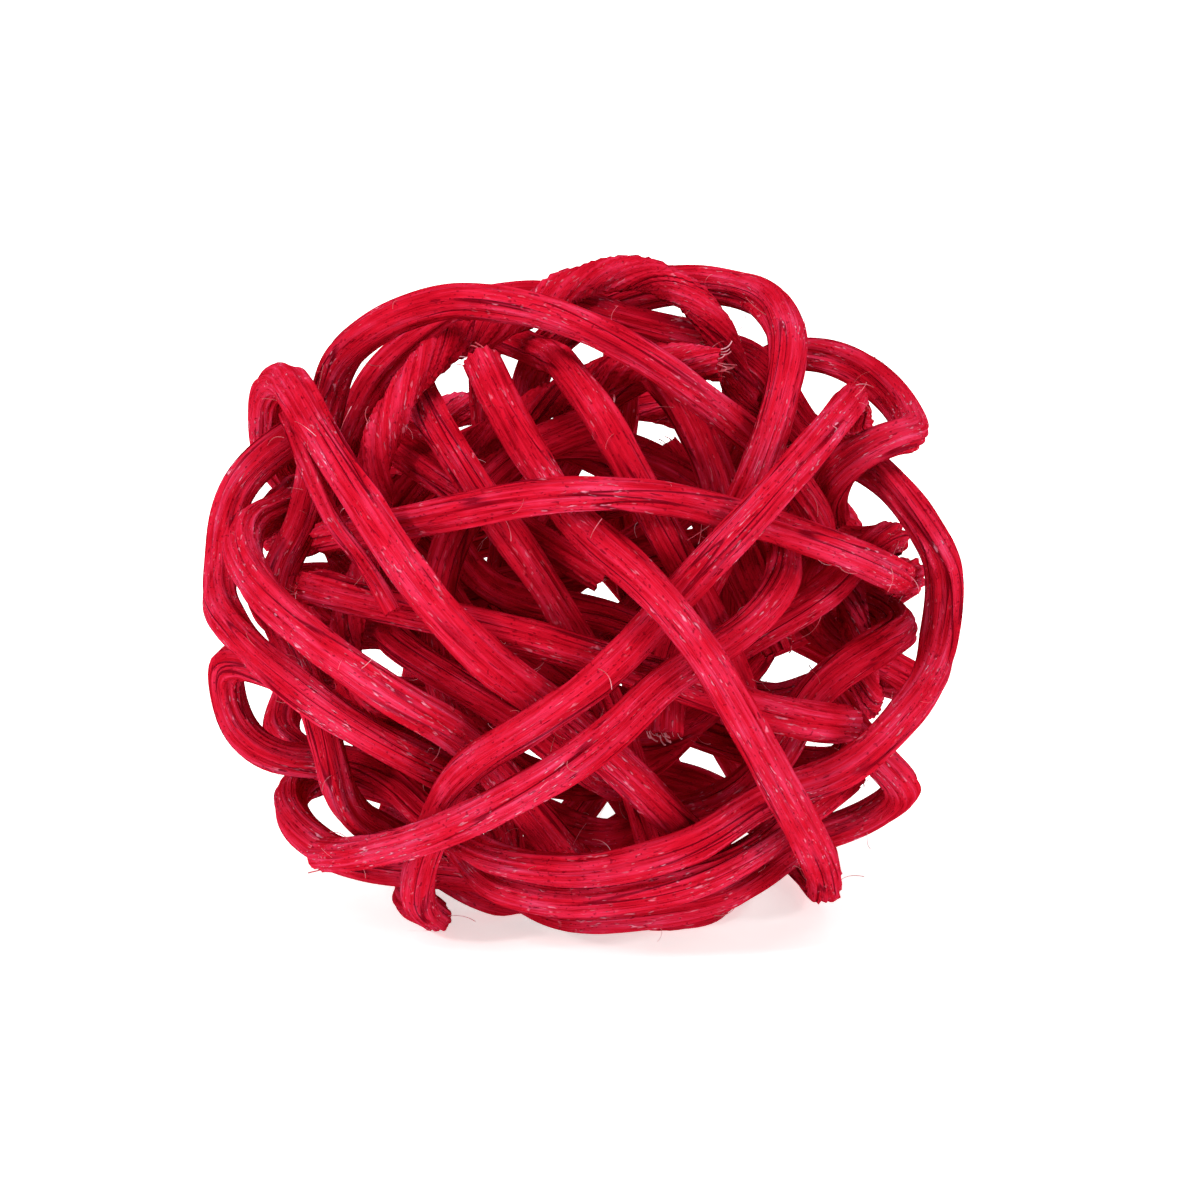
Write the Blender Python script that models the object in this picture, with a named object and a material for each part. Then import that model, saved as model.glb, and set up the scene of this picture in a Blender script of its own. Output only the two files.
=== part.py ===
"""A decorative ball wound from dyed rattan cane, about 50 mm across and hollow.

Every cane is one long round rod that runs over and under the others and is cut off square.
Its route is drawn by hand as stops on the ball's plies, then all the canes are settled
together, so that they lie on each other without running into each other. Small flats worn
under the lowest canes keep the ball from rolling. Metres, +Z up, the face looks along -Y.
"""

import math

import bpy
import numpy as np
from mathutils import Matrix, Vector

# Driving sizes of the ball over its canes, in metres.
BALL_WIDTH = 0.0525
BALL_HEIGHT = 0.0480
BALL_DEPTH = 0.0500

# Cane thicknesses, in metres: rattan core drawn through one die, sanded and dyed by hand.
STOUT_CANE = 0.0028
MIDDLE_CANE = 0.0026
SLIM_CANE = 0.0024

# The gap that two canes keep where one rests on the other.
REST_GAP = 0.0003
# How high the middle of the drawn face is when the ball stands, and how much of the lowest
# canes is worn flat there.
STAND_HEIGHT = 0.0216
FLAT_DEPTH = 0.0006
# How far the drawn face is tipped back as the ball stands.
TIP_BACK = math.radians(15.0)

# The drawn face spans this many units to each side, up and down.
SIDE_UNITS = 105.0
RISE_UNITS = 96.0
# The outline is a little squarer than an ellipse, whose power would be 2.
FULLNESS = 2.4

# Facets round a cane, and the most turn and length of one straight stretch of it.
CANE_SIDES = 7
STRETCH_TURN = math.radians(26.0)
STRETCH_LENGTH = 0.0072
# The tightest bend that the cane takes without breaking, at its middle.
TIGHTEST_BEND = 0.0062
# How far along a cane its drawn route is rounded.
ROUND_OFF = 0.0034
ROUTE_STEP = 0.0005
# Points drawn between two stops, and how many points a bend is measured over.
STOP_POINTS = 12
TURN_POINTS = 7

# How the canes are settled.
SETTLE_ROUNDS = 700
SEARCH_EVERY = 20
SEARCH_MARGIN = 0.0022
FINAL_SHARE = 0.25
PULL_HOME = 0.02
SPREAD = 0.25
SPARE_GAP = 0.00015
# How readily an outermost stretch gives way, against 1 for a stretch one ply down.
OUTER_GIVE = 0.12
KIN_STRETCHES = 3
# The share of a bend that is too tight which one round takes out.
UNBEND = 0.4

# Crimson dye on sanded rattan, as Blender's linear colour.
DYED_CANE = (0.434, 0.009, 0.026, 1.0)
CANE_ROUGHNESS = 0.55
# Edges turning more than this are drawn sharp, as at the cut ends.
SHARP_EDGE = math.radians(60.0)

HALF_SIDE = BALL_WIDTH / 2
HALF_RISE = BALL_HEIGHT / 2
HALF_OUT = BALL_DEPTH / 2

# Each cane's thickness and its stops, from one cut end to the other. A stop is how far
# across and up the drawn face it is, and its ply: 1 is outermost on the front, 2 lies a
# cane deeper, minus plies are on the back, and 0 is the rim between front and back.
CANES = {
    "cane_long_diagonal": (STOUT_CANE, [
        (-32, 66, 2), (-28.5, 60, 2), (-21, 50, 2), (-12, 40, 2), (-3, 31, 2), (9, 17.5, 1.5),
        (15.5, 9.5, 1), (23, 0, 1), (31, -10, 1), (37, -20, 1), (41.5, -30, 1), (47.5, -40, 1),
        (54, -50, 1), (60, -60, 1), (66, -70, 1), (69, -78, 0), (58, -70, -1), (46, -52, -1),
        (30, -30, -1), (10, -5, -1), (-12, 22, -1), (-34, 40, -1), (-54, 50, -1), (-70, 55, -1),
        (-82, 56, 0), (-89, 51, 0), (-93, 44, 0), (-95, 37, 0), (-97.5, 26, 0), (-99.5, 14, 0),
        (-100, 3, 0), (-98, -7, 1), (-91, -15, 1), (-83, -22, 1), (-74, -29.5, 1), (-65, -37, 1),
        (-56, -44, 1), (-47, -52, 1.5), (-38, -60, 2), (-31, -68, 2.5), (-25, -75, 3),
        (-17, -83, 0), (-8, -80, -1), (4, -62, -1), (12, -38, -1), (14, -10, -1), (8, 18, -1),
        (5, 36, -1), (7, 50, -1), (9, 64, -1), (10, 78, -1), (6, 86, 0), (8, 80, 3),
        (14, 72, 3.5), (20, 65, 3.5), (26, 58, 3), (31, 52, 3), (35, 45, 3), (39, 38, 3),
        (44, 30, 3), (49, 20, 3.5), (54, 8, 3.5), (58, -4, 3.5), (60, -16, 3.5),
    ]),
    "cane_frayed": (MIDDLE_CANE, [
        (79, -51, 1.5), (72, -53, 2), (64, -58, 2), (58, -62, 2), (50, -66.5, 1), (40, -72, 1),
        (30, -76, 1), (20, -79, 1), (10, -81, 1), (0, -82.5, 1), (-12, -83, 1), (-24, -81.5, 1),
        (-33, -77, 1.8), (-42, -72.5, 3), (-52, -69, 3.6), (-62, -66, 3.6), (-70, -62, 3),
        (-78, -57, 2), (-85, -50, 0), (-84, -40, -1), (-74, -18, -1), (-55, 4, -1),
        (-30, 20, -1), (-4, 29, -1), (14, 33, -1), (34, 31, -1), (52, 36, -1), (70, 46, -1),
        (82, 54, 0), (76, 51.5, 1), (70, 47.5, 1), (60, 38, 1), (50, 27, 1), (40, 17.5, 1),
        (30, 8, 1.5), (22, -2, 2), (14, -12.5, 1.5), (2, -22, 1), (-10, -30.5, 1), (-20, -38, 1),
        (-30, -46, 1), (-38, -53, 1.5), (-43, -61, 2), (-49, -72, 2), (-54.5, -79, 1.5),
        (-58, -83, 0), (-50, -78, -1), (-38, -62, -1), (-22, -40, -1), (-4, -16, -1), (14, 8, -1),
        (30, 24, -1), (40, 36, -1), (48, 52, -1), (52, 66, -1.5), (55, 74, -3), (61, 71, 3),
        (68, 66, 2), (75, 62, 1.5), (82, 59, 1), (87, 54, 0), (87, 47, 0), (83.5, 42, 1),
        (80.5, 38.5, 2), (76, 32, 3), (71, 25, 3.5), (65, 18, 4),
    ]),
    "cane_front_sweep": (MIDDLE_CANE, [
        (-71, -69, 1), (-60, -67, 1), (-50, -64.5, 1), (-40, -61, 1), (-30, -56.5, 1),
        (-20, -52, 1), (-10, -47, 1), (0, -42.5, 1), (10, -36.5, 1), (20, -29.5, 1),
        (29, -23.5, 1.5), (36, -19, 2), (43, -14.5, 2), (50, -8, 2), (55, -1, 2), (58.5, 6, 2.5),
        (62, 15, 3.5), (66, 25, 3.5), (71, 36, 3.5), (77, 47, 3), (79, 57, 0), (70, 50, -1),
        (58, 34, -1), (40, 16, -1), (18, 0, -1), (-6, -14, -1), (-30, -26, -1), (-54, -36, -1),
        (-72, -43, -1), (-82, -49, 0), (-81, -56, 2), (-79, -64, 2.5), (-75, -70, 2.5),
        (-68, -75, 2.5), (-58, -77, 2), (-48, -77.5, 2), (-38, -78.5, 2), (-28, -81.5, 2.5),
        (-18, -84.5, 2.5), (-8, -86.5, 1.5), (2, -87, 1), (12, -87, 1), (22, -86, 1),
        (32, -84.5, 1), (42, -83, 1), (52, -81, 1), (60, -78, 1.5), (67, -73.5, 2), (73, -68, 1),
        (78, -61.5, 0), (80.5, -54, 0), (80, -46, 1), (78, -38, 2), (74, -28, 3), (70, -18, 3.5),
    ]),
    "cane_left_slope": (STOUT_CANE, [
        (28, -67.5, 2), (24, -62, 2), (19, -56, 2), (14, -50, 2), (9, -45, 2), (1, -38, 2),
        (-6, -31, 2), (-13, -25, 1.5), (-20, -20, 1), (-27.5, -15, 1), (-33, -9, 1),
        (-39.5, 0, 1), (-46, 10, 1), (-53, 20, 1), (-60, 30, 1), (-66.5, 40, 1), (-73, 50, 1),
        (-78.5, 58, 1), (-84, 64, 0), (-89, 58, -1), (-88, 47, -1), (-76, 32, -1), (-54, 14, -1),
        (-26, -6, -1), (0, -24, -1), (20, -44, -1), (32, -64, -1), (38, -80, -1), (38, -89, 0), (30, -91, 0),
        (22, -90, 1), (13, -86, 2), (6, -81, 3), (-1, -75, 2.5), (-7, -71, 2), (-14, -65, 2),
        (-21, -59, 2), (-27, -53, 2), (-34, -46, 2), (-40, -40, 1), (-51, -30, 1), (-64, -20, 1),
        (-77, -10, 1), (-86.5, -1, 1), (-90, 8, 1.5), (-92, 18, 2), (-93, 26, -1), (-86, 34, -1),
        (-78, 38, -1), (-58, 40, -2), (-34, 36, -2),
    ]),
    "cane_top_arch": (MIDDLE_CANE, [
        (16, 10, -2), (42, -2, -1), (66, -12, -1), (84, -18, -1), (93, -20, 0), (90, -16, 3),
        (84, -8, 3), (81, 2, 3), (77, 12, 3), (72, 21, 2.5), (67, 28, 2.5), (61, 36, 2.5),
        (54, 42, 2), (48, 46.5, 1.5), (40, 52, 1), (30, 58.5, 1), (20, 64, 1), (10, 69.5, 1),
        (0, 74.5, 1), (-10, 78, 1), (-20, 80.5, 1), (-30, 81.5, 1), (-40, 81, 1), (-50, 79, 1),
        (-58, 74.5, 1), (-66, 68.5, 1), (-73, 61.5, 1.5), (-80, 52, 2), (-85, 42, 2), (-88, 30, 2),
        (-89, 18, 3), (-88, 6, 3), (-86, -8, 3), (-83, -20, 2), (-81.5, -32, 2), (-79, -40, 2),
        (-75, -48, 2), (-70, -56, 3), (-62, -64, 3), (-52, -73, 3), (-42, -80, 2), (-32, -85, 0),
        (-22, -85.5, 0), (-12, -82, -1), (0, -74, -1), (14, -62, -1),
    ]),
    "cane_middle_arch": (MIDDLE_CANE, [
        (72, -41, 2), (60, -34.5, 2), (50, -28.5, 2), (44, -24.5, 2), (35, -20, 2),
        (24, -15.5, 2), (12, -12, 2), (0, -10, 2), (-10, -9, 2), (-20, -7, 2), (-30, -5.5, 2),
        (-40, -4, 2.5), (-50, -2, 2), (-60, 0, 2), (-75, 3, 2), (-85, 5, 2.5), (-88, 4, -2),
        (-70, 0, -2), (-45, -6, -1), (-15, -12, -1), (15, -14, -1), (45, -11, -1), (72, -5, -1),
        (92, -1, -1), (96, 1, 0), (92, 4, 1), (80, 10.5, 1), (70, 15.5, 1), (60, 18.5, 1),
        (50, 22, 2), (40, 24, 1.5), (30, 24.5, 1), (20, 25, 1), (10, 25, 1), (0, 25, 1),
        (-10, 24, 1), (-20, 22, 1), (-30, 19.5, 1), (-40, 16.5, 1.5), (-48, 14, 2),
        (-57, 10.5, 2.5), (-68, 7.5, 2.5), (-80, 7, 3),
    ]),
    "cane_knot": (STOUT_CANE, [
        (40, 6, -2), (70, 2, -2), (88, 0, -2), (95, -1, 0), (90, -6, 2), (87, -9, 2),
        (80, -16, 2), (73, -22.5, 2), (66, -28, 2), (60, -32.5, 2.5), (53, -39, 3), (47, -46, 3),
        (41, -53, 3), (33, -58, 3), (22, -64, 3), (10, -68, 3), (0, -71, 3), (-12, -75, 3),
        (-24, -79, 3), (-30, -80, 0), (-38, -62, -1), (-46, -36, -1), (-48, -6, -1),
        (-42, 24, -1), (-30, 50, -1), (-20, 64, -1.5), (-4, 75, -2), (14, 81, -2), (31, 85, 0),
        (42, 86, 1), (51, 82, 1), (57, 74, 1), (58, 65, 1), (57, 57, 1), (56, 49, 1),
        (54, 41, 1), (51, 34, 1.5), (48, 26, 2), (47, 18, 2.5), (46, 12, 3), (43, 4, 3),
        (39, -5, 3), (34, -13, 3), (28, -24, 3), (22, -36, 3.5),
    ]),
    "cane_left_loop": (MIDDLE_CANE, [
        (-22, -34, 4), (-34, -30.5, 4), (-44, -29.5, 4), (-55, -28.5, 4), (-66, -25, 3.5),
        (-77, -20, 3), (-87, -14.5, 2), (-94, -13, 1), (-98.5, -18, 0), (-99.5, -25, 0),
        (-97, -33, 0), (-91, -39.5, 1), (-84, -46, 1.2), (-77, -52, 1.8), (-69, -57, 2.4),
        (-60, -61, 2.6), (-51, -65, 2.6), (-42, -69, 2.3), (-33, -73, 1.5), (-23, -76, 1),
        (-10, -77.5, 1), (0, -77.5, 1), (10, -76.5, 1), (20, -75, 1), (30, -72, 1), (40, -67, 1),
        (50, -61.5, 1.5), (57, -57, 2), (64, -53, 1.5), (71, -48, 1), (76, -41, 1), (80, -34.5, 1),
        (86, -26, 1), (93, -17, 1), (99, -9, 0), (102.5, -2, 0), (101, 4, 0), (98, 9, 0),
        (93, 17, 1), (88, 26, 1), (83.5, 35, 1), (79.5, 45, 2), (76, 54, 2.5), (71, 62, 2.5),
        (64, 69, 3), (58, 75, 0), (40, 74, -2), (20, 66, -2), (0, 54, -2), (-18, 38, -2),
        (-34, 16, -2),
    ]),
    "cane_crown": (SLIM_CANE, [
        (-46, -8, -1), (-54, -34, -1), (-56, -58, -1), (-50, -76, 0), (-47, -78, 3),
        (-51, -68, 3), (-54, -58, 3), (-57, -48, 3), (-61, -38, 3), (-66, -24, 3), (-68, -10, 3),
        (-68.5, 4, 3), (-67, 16, 3), (-65, 28, 3), (-62.5, 39, 2), (-60, 46.5, 1.5),
        (-56.5, 53, 1), (-52, 59, 1), (-46.5, 64, 1), (-40, 68.5, 1.5), (-33, 72, 2),
        (-25, 75.5, 2.5), (-15, 79, 2), (-5, 83, 1.5), (4, 88, 1), (13, 90.5, 1), (22, 89, 1),
        (31, 84, 1), (39, 77, 1), (46, 70, 1.5), (52, 65, 2), (59, 60, 2.5), (65, 55, 2.5),
        (70, 50, 2.5), (74, 44, 3), (77, 37, 2.5), (79, 30, 2.5), (81, 22, 2.5), (82.5, 14, 3),
        (84, 4, 3), (86, -6, 3), (88, -18, 2.5), (90, -26, 0), (86, -10, -1), (82, 10, -1),
        (72, 30, -1), (56, 44, -1), (34, 52, -1), (20, 55, -1), (8, 56, -1), (-14, 55, -1),
        (-38, 50, -1), (-60, 40, -1), (-78, 28, -1), (-90, 20, 0), (-84, 18, 4), (-74, 20, 4),
        (-64, 24, 4), (-54, 31, 4), (-44, 38, 4), (-34, 44, 4), (-24, 50, 4), (-14, 56, 3.5),
        (-4, 61, 3.5), (6, 65, 3), (14, 68, 2.5), (22, 68.5, 2), (30, 68, 2), (38, 66, 2),
    ]),
    "cane_steep_pair": (SLIM_CANE, [
        (37, 71.5, 2), (30, 73, 2), (20, 75.5, 2), (10, 78.5, 2), (0, 81, 2), (-10, 82, 2),
        (-20, 81, 2.5), (-32, 79, 2.5), (-42, 75.5, 2.5), (-50, 72, 2), (-57, 68, 2),
        (-64, 62.5, 2), (-71, 57, 2), (-76, 50, 3), (-86, 44, 0), (-84, 34, -2), (-72, 16, -2),
        (-52, -4, -2), (-28, -22, -2), (-2, -36, -2), (24, -48, -2), (46, -60, -1),
        (58, -70, -1), (62, -76, 0), (60, -68, 3), (55.5, -56, 3), (51, -44, 3), (46, -32, 3),
        (40, -20, 3), (34, -8, 3), (28, 3, 3), (23, 11, 2.5), (18.5, 19, 2.5), (15.5, 26, 2.5),
        (12.5, 33, 2), (8.5, 41, 2), (4, 49.5, 2), (-1, 58, 2), (-8, 66, 2), (-14, 73, 2.5),
        (-20, 80, 3), (-26, 84, 0), (-28, 76, -1), (-26, 54, -2), (-18, 28, -1), (-6, 0, -1),
        (8, -28, -1), (20, -54, -1), (28, -74, -1), (32, -84, 0), (27, -74, 3), (22, -62, 3),
        (17, -48, 3), (11, -34, 3), (5, -20, 3), (-2.5, -7, 3), (-7, 2, 3), (-12, 10.5, 3),
        (-18, 19, 2.5), (-23, 26, 2), (-28, 33.5, 2), (-34, 41, 2), (-40, 49, 2), (-44, 56, 2),
        (-46, 61, 2.5),
    ]),
    "cane_inner_belt": (SLIM_CANE, [
        (26, -32, 3.5), (36, -24, 3.5), (46, -17, 3), (56, -11.5, 3), (65, -8, 3), (74, -5, 3),
        (84, -1, 3), (93, 4, 0), (86, 8, -1), (66, 14, -2), (42, 16, -2), (14, 14, -2),
        (-16, 8, -2), (-44, 2, -1), (-70, 2, -1), (-90, 4, 0), (-88, 2, 3), (-76, -1, 3),
        (-64, -4.5, 3), (-50, -13, 3), (-40, -19.5, 3), (-30, -25, 3), (-20, -30.5, 3),
        (-9, -38, 3), (1, -47, 3), (10, -57, 3), (16, -68, 3.5), (20, -80, 3),
    ]),
    "cane_inner_hoop": (MIDDLE_CANE, [
        (-50, 8, 4), (-38, -16, 4), (-20, -34, 4), (2, -44, 4), (26, -42, 4), (46, -26, 4),
        (57, -4, 0), (50, 16, -4), (34, 34, -4), (10, 44, -4), (-16, 42, -4), (-38, 28, -4),
        (-54, 8, -4), (-50, -14, -4),
    ]),
    "cane_inner_bow": (MIDDLE_CANE, [
        (8, 50, 4), (-14, 44, 4), (-32, 28, 4), (-42, 4, 4), (-42, -22, 4), (-26, -42, 4),
        (0, -50, 0), (22, -44, -4), (38, -26, -4), (44, -2, -4), (38, 24, -4), (20, 42, -4),
    ]),
    "cane_inner_fill": (SLIM_CANE, [
        (66, -16, -3), (57, -27, -3), (44, -24, -3), (30, -12, -3), (14, -2, -3), (-2, 4, -3),
        (-17, 7, -3), (-32, 14, -3), (-46, 28, -3), (-51, 42, -3), (-46, 53, -2.5), (-35, 57, -2.5),
        (-22, 56, -3), (-8, 52, -3), (8, 46, -3), (20, 38, -3),
    ]),
    "cane_inner_rise": (SLIM_CANE, [
        (4, 4, 3.5), (-10, 11, 3.5), (-22, 19, 3), (-31, 25, 2.5), (-38, 29.5, 2.5),
        (-45, 34, 2.5), (-52, 38, 2.5), (-62, 43, 3), (-72, 45, 3), (-84, 44, 0), (-80, 36, -1),
        (-64, 22, -1), (-40, 2, -1), (-12, -16, -1), (18, -32, -1), (44, -42, -1.5),
        (62, -44, -2), (72, -40, 0), (70, -34, 4), (62, -28, 4),
    ]),
}

# On the back each further cane starts this share of a ply deeper, so that it passes under.
BACK_STEP = 0.3
BACK_STEPS = 4


def place_of(across, up, ply):
    """Where a stop is, before the face is tipped back."""
    x = across / SIDE_UNITS * HALF_SIDE
    z = up / RISE_UNITS * HALF_RISE
    sunk = MIDDLE_CANE / 2 + (abs(ply) - 1) * (MIDDLE_CANE + REST_GAP)
    left = 1 - abs(x / (HALF_SIDE - sunk)) ** FULLNESS - abs(z / (HALF_RISE - sunk)) ** FULLNESS
    out = (HALF_OUT - sunk) * max(0.0, left) ** (1 / FULLNESS)
    return (x, -math.copysign(out, ply) if ply else 0.0, z)


def smooth_route(stops, order):
    """A cane's smooth route through its stops, as many points close together."""
    deeper = BACK_STEP * (order % BACK_STEPS)
    knots = np.array([place_of(a, u, p - deeper if p < 0 else p) for a, u, p in stops])
    knots = np.vstack([2 * knots[0] - knots[1], knots, 2 * knots[-1] - knots[-2]])
    steps = np.linspace(0, 1, STOP_POINTS, endpoint=False)[:, None]
    fine = [
        0.5 * (2 * b + (c - a) * steps + (2 * a - 5 * b + 4 * c - d) * steps**2
               + (3 * b - a - 3 * c + d) * steps**3)
        for a, b, c, d in zip(knots, knots[1:], knots[2:], knots[3:])
    ]
    fine = evenly(np.vstack([*fine, knots[-2:-1]]), ROUTE_STEP)
    for _ in range(round(2 * (ROUND_OFF / ROUTE_STEP) ** 2)):
        fine[1:-1] += 0.5 * ((fine[:-2] + fine[2:]) / 2 - fine[1:-1])
    return fine


def evenly(line, step):
    """The line again, with its points the same distance apart."""
    along = np.insert(np.cumsum(np.linalg.norm(np.diff(line, axis=0), axis=1)), 0, 0)
    wanted = np.linspace(0, along[-1], math.ceil(along[-1] / step) + 1)
    return np.stack([np.interp(wanted, along, line[:, axis]) for axis in range(3)], axis=1)


def stretches_of(fine):
    """The route as few points, closer together where it bends."""
    runs = np.diff(fine, axis=0)
    lengths = np.linalg.norm(runs, axis=1)
    ways = runs / lengths[:, None]
    turns = np.arccos(np.clip((ways[:-1] * ways[1:]).sum(axis=1), -1, 1))
    turns = np.convolve(np.append(turns, turns[-1]), np.full(TURN_POINTS, 1 / TURN_POINTS), "same")
    cost = np.maximum(lengths / STRETCH_LENGTH, turns / STRETCH_TURN)
    along = np.insert(np.cumsum(cost), 0, 0)
    wanted = np.linspace(0, along[-1], math.ceil(along[-1]) + 1)
    return np.stack([np.interp(wanted, along, fine[:, axis]) for axis in range(3)], axis=1)


def nearest_shares(a, b, c, d):
    """How far along each stretch AB and CD their nearest points are, from 0 to 1."""
    u, v, w = b - a, d - c, a - c
    uu, uv, vv = (u * u).sum(1), (u * v).sum(1), (v * v).sum(1)
    uw, vw = (u * w).sum(1), (v * w).sum(1)
    s = np.clip((uv * vw - vv * uw) / np.maximum(uu * vv - uv * uv, 1e-16), 0, 1)
    t = np.clip((uv * s + vw) / vv, 0, 1)
    s = np.clip((uv * t - uw) / uu, 0, 1)
    return s, t


def reach_of(points):
    """How far out towards the outermost ply each point is, from 0 to 1."""
    outer = np.array([HALF_SIDE, HALF_OUT, HALF_RISE]) - MIDDLE_CANE / 2
    return (np.abs(points / outer) ** FULLNESS).sum(axis=1) ** (1 / FULLNESS)


class Winding:
    """All the canes' stretches together, and how they push each other apart."""

    def __init__(self, routes, radii):
        self.sizes = [len(route) for route in routes]
        self.home = np.vstack(routes)
        self.at = self.home.copy()
        cane = np.repeat(np.arange(len(routes)), self.sizes)
        self.start = np.flatnonzero(cane[:-1] == cane[1:])
        self.cane = cane[self.start]
        self.radius = np.array(radii)[self.cane]
        ends = np.cumsum(self.sizes)
        self.inner = np.setdiff1d(np.arange(1, len(cane) - 1), np.append(ends - 1, ends))
        reach = reach_of(self.home)
        self.give = np.clip((1 - reach) * HALF_SIDE / MIDDLE_CANE, OUTER_GIVE, 1)
        self.most = np.maximum(reach, 1)
        self.up = np.array(tip_turn())[2]
        self.lowest = np.repeat(radii, self.sizes) - STAND_HEIGHT - FLAT_DEPTH

    def close_pairs(self):
        """Pairs of stretches near enough to touch soon, leaving out neighbours on one cane."""
        a, b = self.at[self.start], self.at[self.start + 1]
        middle, half = (a + b) / 2, np.linalg.norm(b - a, axis=1) / 2
        first, second = np.triu_indices(len(middle), 1)
        apart = np.linalg.norm(middle[first] - middle[second], axis=1)
        reach = half[first] + half[second] + self.radius[first] + self.radius[second]
        kin = (self.cane[first] == self.cane[second]) & (second - first <= KIN_STRETCHES)
        near = (apart < reach + SEARCH_MARGIN) & ~kin
        return first[near], second[near]

    def push_apart(self, first, second):
        """Moves touching stretches off each other."""
        p, q = self.start[first], self.start[second]
        a, b, c, d = self.at[p], self.at[p + 1], self.at[q], self.at[q + 1]
        s, t = nearest_shares(a, b, c, d)
        s, t = s[:, None], t[:, None]
        away = (a + s * (b - a)) - (c + t * (d - c))
        gap = np.linalg.norm(away, axis=1)
        wanted = self.radius[first] + self.radius[second] + REST_GAP + SPARE_GAP
        short = wanted - gap
        hit = short > 0
        if not hit.any():
            return
        p, q, s, t = p[hit], q[hit], s[hit], t[hit]
        give = self.give[:, None]
        weight = (1 - s) ** 2 * give[p] + s**2 * give[p + 1]
        weight += (1 - t) ** 2 * give[q] + t**2 * give[q + 1]
        move = away[hit] / np.maximum(gap[hit], 1e-9)[:, None] * (short[hit][:, None] / weight)
        shift = np.zeros_like(self.at)
        count = np.zeros(len(self.at))
        for index, part in ((p, 1 - s), (p + 1, s), (q, t - 1), (q + 1, -t)):
            np.add.at(shift, index, part * give[index] * move)
            np.add.at(count, index, np.abs(part[:, 0]))
        self.at += shift / np.maximum(count, 1.0)[:, None]

    def spread(self, amount):
        """Evens out how far neighbouring points have moved, so that no cane kinks."""
        moved = self.at - self.home
        inner = self.inner
        self.at[inner] += amount * ((moved[inner - 1] + moved[inner + 1]) / 2 - moved[inner])

    def draw_in(self):
        """Brings back every point pushed out past the ball's outline."""
        self.at *= np.minimum(1, self.most / reach_of(self.at))[:, None]

    def stand(self):
        """Lifts every point that is too low for the ball to stand on its flats."""
        under = np.maximum(0, self.lowest - self.at @ self.up)
        self.at += under[:, None] * self.up

    def unbend(self):
        """Eases every bend that is tighter than the cane can take."""
        inner = self.inner
        before, after = self.at[inner - 1], self.at[inner + 1]
        dent = (before + after) / 2 - self.at[inner]
        most = ((after - before) ** 2).sum(axis=1) / (8 * TIGHTEST_BEND)
        size = np.linalg.norm(dent, axis=1)
        over = np.maximum(0, 1 - most / np.maximum(size, 1e-9))[:, None] * dent
        self.at[inner] += UNBEND * over
        np.add.at(self.at, inner - 1, -UNBEND / 2 * over)
        np.add.at(self.at, inner + 1, -UNBEND / 2 * over)

    def settle(self):
        """The canes' routes once none of them runs into another."""
        for turn in range(SETTLE_ROUNDS):
            if turn % SEARCH_EVERY == 0:
                pairs = self.close_pairs()
            early = max(0.0, 1 - turn / (SETTLE_ROUNDS * (1 - FINAL_SHARE)))
            self.spread(SPREAD * early)
            self.at += PULL_HOME * early * (self.home - self.at)
            self.unbend()
            self.draw_in()
            self.stand()
            self.push_apart(*pairs)
        return np.split(self.at, np.cumsum(self.sizes)[:-1])


def tip_turn():
    """The turn from the drawn face to the ball as it stands."""
    return Matrix.Rotation(-TIP_BACK, 3, "X")


def rings_of(line, radius):
    """A ring of points round the cane at each point of its line, without twist."""
    ways = np.gradient(line, axis=0)
    ways /= np.linalg.norm(ways, axis=1)[:, None]
    side = Vector(ways[0]).orthogonal().normalized()
    angles = np.linspace(0, 2 * math.pi, CANE_SIDES, endpoint=False)
    rings = []
    before = Vector(ways[0])
    for point, way in zip(line, ways):
        way = Vector(way)
        side.rotate(before.rotation_difference(way))
        side = (side - side.dot(way) * way).normalized()
        up = way.cross(side)
        before = way
        rings.append([
            Vector(point) + radius * (math.cos(angle) * side + math.sin(angle) * up)
            for angle in angles
        ])
    return rings


def cane_mesh(name, line, radius, floor):
    """A closed rod along the line, with square ends and nothing below the floor."""
    rings = rings_of(line, radius)
    points = [(p.x, p.y, max(p.z, floor)) for ring in rings for p in ring]
    tips = len(points)
    points += [tuple(line[0]), tuple(line[-1])]
    last = (len(rings) - 1) * CANE_SIDES
    faces = []
    for n in range(CANE_SIDES):
        after = (n + 1) % CANE_SIDES
        faces.append((tips, after, n))
        faces.append((tips + 1, last + n, last + after))
        for ring in range(0, last, CANE_SIDES):
            faces.append((ring + n, ring + after, ring + CANE_SIDES + after))
            faces.append((ring + n, ring + CANE_SIDES + after, ring + CANE_SIDES + n))
    mesh = bpy.data.meshes.new(name)
    mesh.from_pydata(points, [], faces)
    mesh.shade_smooth()
    mesh.set_sharp_from_angle(angle=SHARP_EDGE)
    return mesh


def dyed_rattan():
    """Plain dyed cane, for a look at the solids."""
    material = bpy.data.materials.new("dyed_rattan")
    material.use_nodes = True
    shader = material.node_tree.nodes["Principled BSDF"]
    shader.inputs["Base Color"].default_value = DYED_CANE
    shader.inputs["Roughness"].default_value = CANE_ROUGHNESS
    shader.inputs["Metallic"].default_value = 0.0
    return material


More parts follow.
